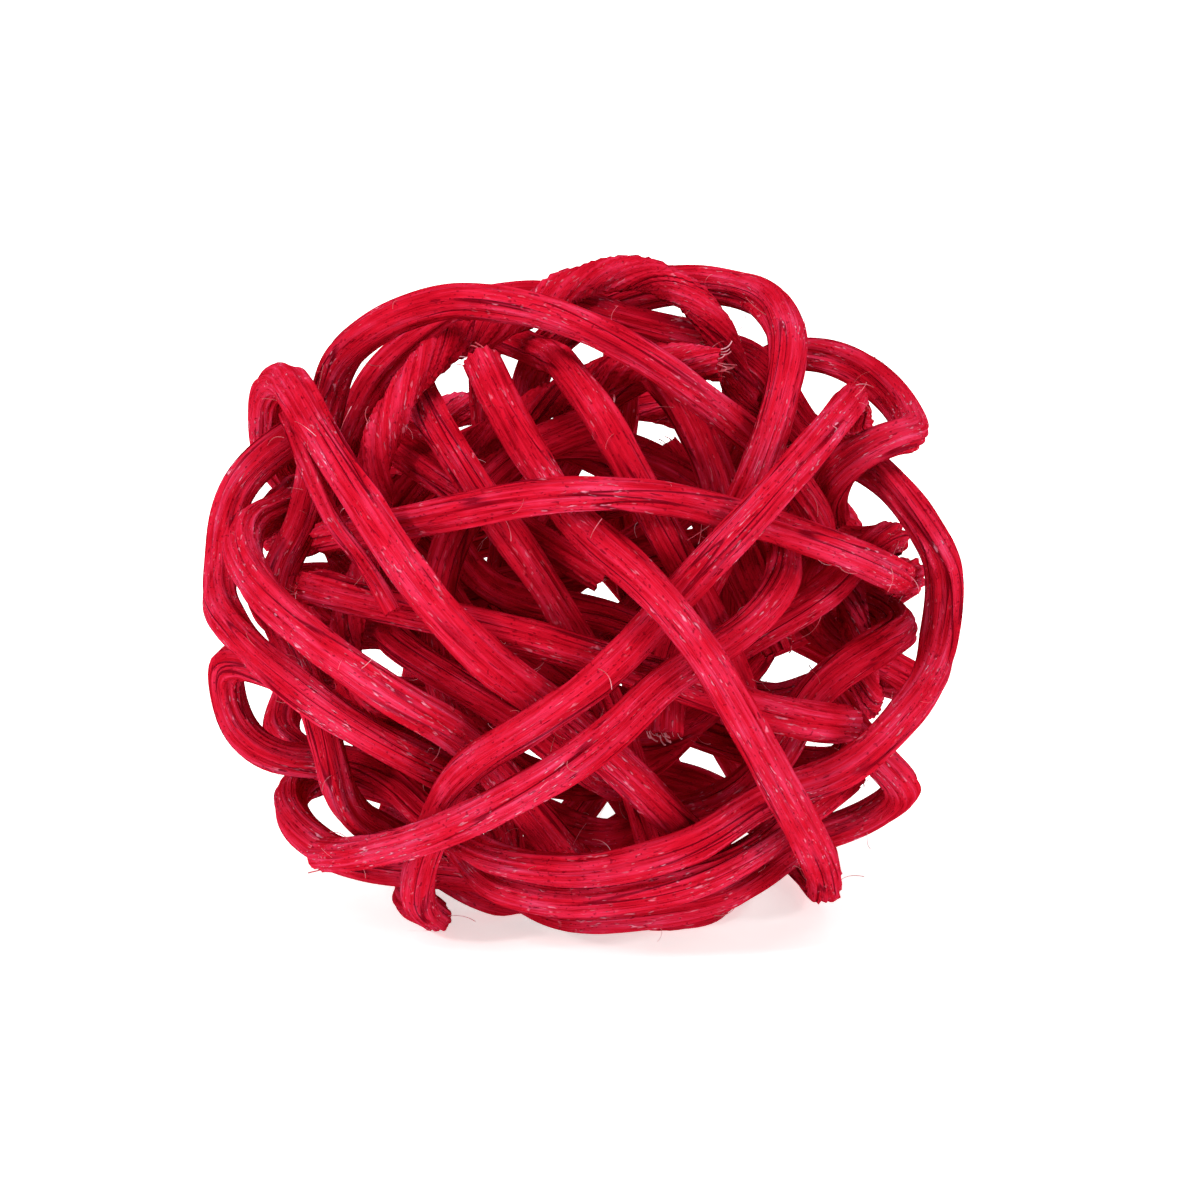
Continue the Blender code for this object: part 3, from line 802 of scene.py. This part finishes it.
    def height(
        self, made: Tree, round_it: tuple[bpy.types.NodeSocket, bpy.types.NodeSocket],
        along: bpy.types.NodeSocket,
    ) -> bpy.types.NodeSocket:
        """How far a spot stands out of the round rod, by its lumps and ribs.

        Args:
            made: the ribbed cane tree.
            round_it: the cosine and sine of the place round the cane.
            along: the place along the cane, in millimetres.

        Returns:
            The height, in metres.
        """
        add, given = made.add, made.given
        across, up = round_it
        total = 0.0
        for relief in self.reliefs:
            spot = add("ShaderNodeCombineXYZ", {"X": across, "Y": up, "Z": 0.0})
            scaled = add("ShaderNodeVectorMath", {
                0: spot.outputs[0], "Scale": relief.round_count,
            }, operation="SCALE")
            far = add("ShaderNodeMath", {0: along, 1: relief.per_mm}, operation="MULTIPLY")
            parts = add("ShaderNodeSeparateXYZ", {"Vector": scaled.outputs[0]})
            at = add("ShaderNodeCombineXYZ", {
                "X": parts.outputs["X"], "Y": parts.outputs["Y"], "Z": far.outputs[0],
            })
            noise = add("ShaderNodeTexNoise", {
                "Vector": at.outputs[0], "Scale": 1.0, "Detail": 1.5, "Roughness": 0.5,
            })
            level = add("ShaderNodeMath", {0: noise.outputs["Fac"], 1: 0.5}, operation="SUBTRACT")
            size_m = add("ShaderNodeMath", {0: given[relief.title], 1: MM}, operation="MULTIPLY")
            total = add("ShaderNodeMath", {
                0: level.outputs[0], 1: size_m.outputs[0], 2: total,
            }, operation="MULTIPLY_ADD").outputs[0]
        return total

    def marked(
        self, made: Tree, geometry: bpy.types.NodeSocket,
        round_it: tuple[bpy.types.NodeSocket, bpy.types.NodeSocket], along: bpy.types.NodeSocket,
    ) -> bpy.types.NodeSocket:
        """Stores what the material reads: the grain's place, and how far out on the ball a spot is,
        for the outer canes' wear and the painted shade of the inner ones.

        Args:
            made: the ribbed cane tree.
            geometry: the ribbed cane.
            round_it: the cosine and sine of the place round the cane.
            along: the place along the cane, in millimetres.

        Returns:
            The cane with both attributes stored.
        """
        add, given = made.add, made.given
        across, up = round_it
        grain = add("ShaderNodeCombineXYZ", {"X": across, "Y": up, "Z": 0.0})
        thick = add("ShaderNodeMath", {0: given["Radius"], 1: 1000.0}, operation="MULTIPLY")
        grain_mm = add("ShaderNodeVectorMath", {
            0: grain.outputs[0], "Scale": thick.outputs[0],
        }, operation="SCALE")
        run = add("ShaderNodeCombineXYZ", {"Z": along})
        whole = add("ShaderNodeVectorMath", {
            0: grain_mm.outputs[0], 1: run.outputs[0],
        }, operation="ADD")
        grained = add("GeometryNodeStoreNamedAttribute", {
            "Geometry": geometry, "Name": "grain", "Value": whole.outputs[0],
        }, data_type="FLOAT_VECTOR", domain="POINT")
        # How far out on the ball a spot is: the material paints shade deep in the ball, and paler wear
        # and glints on the outer canes.
        spot = add("GeometryNodeInputPosition")
        out = add("ShaderNodeVectorMath", {
            0: spot.outputs[0], 1: given["Middle"],
        }, operation="SUBTRACT")
        reach = add("ShaderNodeVectorMath", {0: out.outputs[0]}, operation="LENGTH")
        return add("GeometryNodeStoreNamedAttribute", {
            "Geometry": grained.outputs["Geometry"], "Name": "outer_wear_and_light",
            "Value": self.outer_wear_and_light.of(made.tree, reach.outputs["Value"]),
        }, data_type="FLOAT", domain="POINT").outputs["Geometry"]

    def build(self, finish: bpy.types.Material) -> None:
        """Makes every cane.

        Args:
            finish: the dyed rattan material.
        """
        made = self.tree()
        for number, node in enumerate(sorted(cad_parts)):
            line = CaneLine(node)
            wind = Wind.TWISTED if node in self.twisted else Wind.STRAIGHT
            piece = made.run(f"{node}_rattan", drawn_line(node, line.points), {
                "Radius": self.core_share * line.radius, "Twist": wind.value,
                "Seed": self.seed_step * (number + 1), "Middle": tuple(box_middle()),
                "Ribs": self.twisted_rib_mm if wind is Wind.TWISTED else self.rib_mm,
                "Material": finish,
            })
            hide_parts(node)
            keep(piece)
            self.lines[node] = line
            self.pieces[node] = piece
        Sliver().build(made, finish)


@dataclass
class Sliver:
    """A thin strand peeled off one cane, beside it on the drawn face.

    Attributes:
        stops: how far across and up the drawn face it passes, in quarter millimetres.
        radius: half its thickness, in metres.
        depth: how far under the ball's outline it lies, in metres.
        fullness: how full the ball's outline is, where 2 is an ellipse.
        unit: one unit of the stops, in metres.
        seed: where along its noise the strand starts.
    """

    stops: tuple[tuple[float, float], ...] = (
        (-80, 50), (-78, 46), (-74, 37), (-70, 29), (-66, 20), (-60, 13), (-55, 6), (-50, -3),
    )
    radius: float = 0.62 * MM
    depth: float = 1.9 * MM
    fullness: float = 2.4
    unit: float = 0.25 * MM
    seed: float = 90.0

    def points(self) -> np.ndarray:
        """The strand's middle line.

        Returns:
            Its points, in metres.
        """
        half = np.diff(CAD_BOX, axis=0)[0] / 2 - self.depth
        middle = box_middle()
        turn = Matrix.Rotation(-TIP_BACK, 3, "X")
        line = []
        for across, up in self.stops:
            x, z = across * self.unit, up * self.unit
            left = 1 - abs(x / half[0]) ** self.fullness - abs(z / half[2]) ** self.fullness
            out = half[1] * max(0.0, left) ** (1 / self.fullness)
            place = turn @ Vector((x, -out, z))
            line.append((place.x + middle[0], place.y + middle[1], place.z + FACE_MIDDLE_UP))
        return np.array(line)

    def build(self, made: Tree, finish: bpy.types.Material) -> None:
        """Draws the strand.

        Args:
            made: the ribbed cane tree.
            finish: the dyed rattan material.
        """
        line = drawn_line("peeled_sliver", smooth_line(self.points()))
        piece = made.run("peeled_sliver", line, {
            "Radius": self.radius, "Seed": self.seed, "Middle": tuple(box_middle()),
            "Material": finish,
        })
        keep(piece)


@dataclass(frozen=True)
class Growth:
    """How the fibres of one place stand.

    Attributes:
        per_mm2: how many there are to a square millimetre.
        length: how long the longest are, in metres.
        thickness: half of how thick they are, in metres.
        lean: how far they lean any way, where 1 is any way at all.
        seed: the seed of their places and sizes.
    """

    per_mm2: float
    length: float
    thickness: float
    lean: float
    seed: int

    def values(self, finish: bpy.types.Material, number: int = 0) -> dict[str, object]:
        """The fibre tree's inputs.

        Args:
            finish: the torn fibre material.
            number: the piece's place in a row of pieces, so that no two look alike.

        Returns:
            The values, by name.
        """
        return {
            "Density": self.per_mm2 / MM**2, "Length": self.length, "Thickness": self.thickness,
            "Lean": self.lean, "Seed": self.seed + number, "Material": finish,
        }


@dataclass(frozen=True)
class Fibres:
    """Torn fibres that stand off the canes and out of their cut ends.

    Attributes:
        on_cane, on_end, on_frayed_end: how the fibres of each place stand.
        end_share: the share of a cut end's radius that fibres stand on.
        disc_sides: how many corners the disc at a cut end has.
        shortest: the shortest fibre's share of the longest.
        arc: a fibre's start, middle and end, for one a metre long.
        arc_points: how many points the fibre is drawn with.
        sides: how many facets a fibre has.
    """

    on_cane: Growth = Growth(0.020, 1.9 * MM, 0.028 * MM, 1.0, 11)
    on_end: Growth = Growth(3.0, 0.85 * MM, 0.05 * MM, 0.25, 5)
    on_frayed_end: Growth = Growth(5.0, 2.6 * MM, 0.05 * MM, 0.5, 8)
    end_share: float = 0.9
    disc_sides: int = 12
    shortest: float = 0.35
    arc: tuple[tuple[float, float, float], ...] = (
        (0.0, 0.0, -0.05), (0.12, 0.0, 0.62), (0.75, 0.18, 0.80),
    )
    arc_points: int = 7
    sides: int = 4

    def tree(self) -> Tree:
        """The tree that stands bent fibres on a surface.

        Returns:
            The tree, with its sizes as named inputs.
        """
        made = Tree("torn_fibres", {
            "Density": ("NodeSocketFloat", 1.0), "Length": ("NodeSocketFloat", 2.0 * MM),
            "Thickness": ("NodeSocketFloat", 0.05 * MM), "Lean": ("NodeSocketFloat", 1.0),
            "Seed": ("NodeSocketInt", 1), "Material": ("NodeSocketMaterial", None),
        })
        add, given = made.add, made.given
        points = add("GeometryNodeDistributePointsOnFaces", {
            "Mesh": given["Geometry"], "Density": given["Density"], "Seed": given["Seed"],
        })
        start, middle, end = self.arc
        arc = add("GeometryNodeCurveQuadraticBezier", {
            "Resolution": self.arc_points, "Start": start, "Middle": middle, "End": end,
        })
        # The fibre is drawn a metre long, and the instance's scale brings it down.
        share = add("ShaderNodeMath", {
            0: given["Thickness"], 1: given["Length"],
        }, operation="DIVIDE")
        circle = add("GeometryNodeCurvePrimitiveCircle", {
            "Resolution": self.sides, "Radius": share.outputs[0],
        })
        hair = add("GeometryNodeCurveToMesh", {
            "Curve": arc.outputs["Curve"], "Profile Curve": circle.outputs["Curve"],
            "Fill Caps": True,
        })
        low = add("ShaderNodeVectorMath", {
            0: (-1.0, -1.0, -math.pi), "Scale": given["Lean"],
        }, operation="SCALE")
        high = add("ShaderNodeVectorMath", {
            0: (1.0, 1.0, math.pi), "Scale": given["Lean"],
        }, operation="SCALE")
        turn = add("FunctionNodeRandomValue", {
            "Min": low.outputs[0], "Max": high.outputs[0], "Seed": given["Seed"],
        }, data_type="FLOAT_VECTOR")
        rotation = add("FunctionNodeRotateRotation", {
            "Rotation": points.outputs["Rotation"], "Rotate By": turn.outputs["Value"],
        }, rotation_space="LOCAL")
        least = add("ShaderNodeMath", {
            0: given["Length"], 1: self.shortest,
        }, operation="MULTIPLY")
        size = add("FunctionNodeRandomValue", {"Seed": given["Seed"]}, data_type="FLOAT")
        made.tree.links.new(least.outputs[0], size.inputs[2])
        made.tree.links.new(given["Length"], size.inputs[3])
        stood = add("GeometryNodeInstanceOnPoints", {
            "Points": points.outputs["Points"], "Instance": hair.outputs["Mesh"],
            "Rotation": rotation.outputs["Rotation"], "Scale": size.outputs[1],
        })
        real = add("GeometryNodeRealizeInstances", {"Geometry": stood.outputs["Instances"]})
        spot = add("GeometryNodeInputPosition")
        above = add("ShaderNodeVectorMath", {0: spot.outputs[0], 1: (-1.0, -1.0, 0.0)},
                    operation="MAXIMUM")
        held = add("GeometryNodeSetPosition", {
            "Geometry": real.outputs["Geometry"], "Position": above.outputs[0],
        })
        made.end(held.outputs["Geometry"])
        return made

    def end_discs(self, lines: Iterable[CaneLine]) -> bpy.types.Mesh:
        """Small discs just inside the cut ends, for fibres to stand on.

        Args:
            lines: the canes' middle lines.

        Returns:
            One mesh of all the discs.
        """
        corners, faces = [], []
        for line in lines:
            reach = line.radius * self.end_share
            for middle, way in line.ends():
                side = Vector(way).orthogonal().normalized()
                up = Vector(way).cross(side)
                start = len(corners)
                for turn in range(self.disc_sides):
                    angle = 2 * math.pi * turn / self.disc_sides
                    out = math.cos(angle) * side + math.sin(angle) * up
                    corners.append(Vector(middle) + reach * out)
                faces.append(tuple(range(start, start + self.disc_sides)))
        mesh = bpy.data.meshes.new("end_discs")
        mesh.from_pydata(corners, [], faces)
        return mesh

    def build(self, canes: Canes, finish: bpy.types.Material) -> None:
        """Stands the fibres on every cane and at every cut end.

        Args:
            canes: the finished canes.
            finish: the torn fibre material.
        """
        made = self.tree()
        for number, (node, cane) in enumerate(canes.pieces.items()):
            keep(made.run(
                f"{node}_fibres", cane.data.copy(), self.on_cane.values(finish, number)
            ))
        keep(made.run(
            "cut_end_fibres", self.end_discs(canes.lines.values()), self.on_end.values(finish)
        ))
        keep(made.run(
            "frayed_end_fibres", self.end_discs([canes.lines["cane_frayed"]]),
            self.on_frayed_end.values(finish),
        ))


@dataclass(frozen=True)
class Lamp:
    """A square soft light that faces the ball.

    Attributes:
        name: the light's name.
        place: where it hangs, in metres.
        side: how wide it is, in metres.
        power: its power, in watts.
    """

    name: str
    place: tuple[float, float, float]
    side: float
    power: float

    def hang(self) -> None:
        """Adds the light to the scene."""
        light = bpy.data.lights.new(self.name, "AREA")
        light.size = self.side
        light.energy = self.power
        lamp = bpy.data.objects.new(self.name, light)
        lamp.location = self.place
        lamp.rotation_euler = (-Vector(self.place)).to_track_quat("-Z", "Y").to_euler()
        bpy.context.scene.collection.objects.link(lamp)


@dataclass(frozen=True)
class Studio:
    """A pale floor, soft light from above and the sides, and the camera.

    Attributes:
        distance: from the camera to the ball, in metres.
        sensor_mm: the camera's sensor width.
        nearest: how near the camera sees, in metres.
        floor_side: the floor's width, in metres.
        floor_roughness, floor_shine, floor_glow: how the paper takes and gives light.
        sky_strength: how bright the world is.
        lamps: the lights.
    """

    distance: float = 0.55
    sensor_mm: float = 36.0
    nearest: float = 0.01
    floor_side: float = 3.0
    floor_roughness: float = 0.9
    floor_shine: float = 0.1
    floor_glow: float = 0.6
    sky_strength: float = 0.80
    lamps: tuple[Lamp, ...] = (
        Lamp("light_above", (-0.05, -0.10, 0.55), 0.35, 2.0),
        Lamp("light_left", (-0.40, -0.40, 0.30), 0.07, 1.6),
        Lamp("light_right", (0.45, -0.40, 0.25), 0.07, 1.3),
    )

    def build(self) -> None:
        """Sets the stage, the lights and the camera."""
        self.floor()
        self.lights()
        self.camera()
        bpy.context.scene.view_settings.view_transform = "Standard"

    def floor(self) -> None:
        """A pale sheet of paper under the ball."""
        half = self.floor_side / 2
        mesh = bpy.data.meshes.new("paper_floor")
        corners = [(-half, -half, 0), (half, -half, 0), (half, half, 0), (-half, half, 0)]
        mesh.from_pydata(corners, [], [(0, 1, 2, 3)])
        floor = bpy.data.objects.new("paper_floor", mesh)
        material = bpy.data.materials.new("white_paper")
        material.use_nodes = True
        shader = material.node_tree.nodes["Principled BSDF"]
        shader.inputs["Base Color"].default_value = Tint.PAPER.linear()
        shader.inputs["Roughness"].default_value = self.floor_roughness
        shader.inputs["Specular IOR Level"].default_value = self.floor_shine
        shader.inputs["Emission Color"].default_value = Tint.PAPER.linear()
        shader.inputs["Emission Strength"].default_value = self.floor_glow
        mesh.materials.append(material)
        bpy.context.scene.collection.objects.link(floor)

    def lights(self) -> None:
        """Three large soft lights and a pale world."""
        for lamp in self.lamps:
            lamp.hang()
        world = bpy.data.worlds.new("pale_world")
        world.use_nodes = True
        sky = world.node_tree.nodes["Background"]
        sky.inputs["Color"].default_value = Tint.PAPER.linear()
        sky.inputs["Strength"].default_value = self.sky_strength
        bpy.context.scene.world = world

    def camera(self) -> None:
        """A long lens that frames the ball as the photograph does."""
        data = bpy.data.cameras.new("camera")
        width = PHOTO_SIDE_PX / PX_PER_MM * MM
        data.sensor_width = self.sensor_mm
        data.lens = self.sensor_mm * self.distance / width
        data.clip_start = self.nearest
        back = Vector((0, -math.cos(TIP_BACK), math.sin(TIP_BACK)))
        up = Vector((0, math.sin(TIP_BACK), math.cos(TIP_BACK)))
        half = PHOTO_SIDE_PX / 2
        right_of_ball = (half - BALL_MIDDLE_PX[0]) / PX_PER_MM * MM
        above_ball = (BALL_MIDDLE_PX[1] - half) / PX_PER_MM * MM
        drawn_middle = Vector((*box_middle()[:2], FACE_MIDDLE_UP))
        target = drawn_middle + Vector((right_of_ball, 0, 0)) + above_ball * up
        eye = bpy.data.objects.new("camera", data)
        eye.location = target + back * self.distance
        eye.rotation_euler = (-back).to_track_quat("-Z", "Y").to_euler()
        bpy.context.scene.collection.objects.link(eye)
        bpy.context.scene.camera = eye


def main() -> None:
    """Builds the canes, their fibres and the studio, in that order."""
    logging.basicConfig(level=logging.INFO, format="%(message)s")
    canes = Canes()
    canes.build(DyedRattan().build())
    Fibres().build(canes, LooseFibre().build())
    Studio().build()


if __name__ == "__main__":
    main()
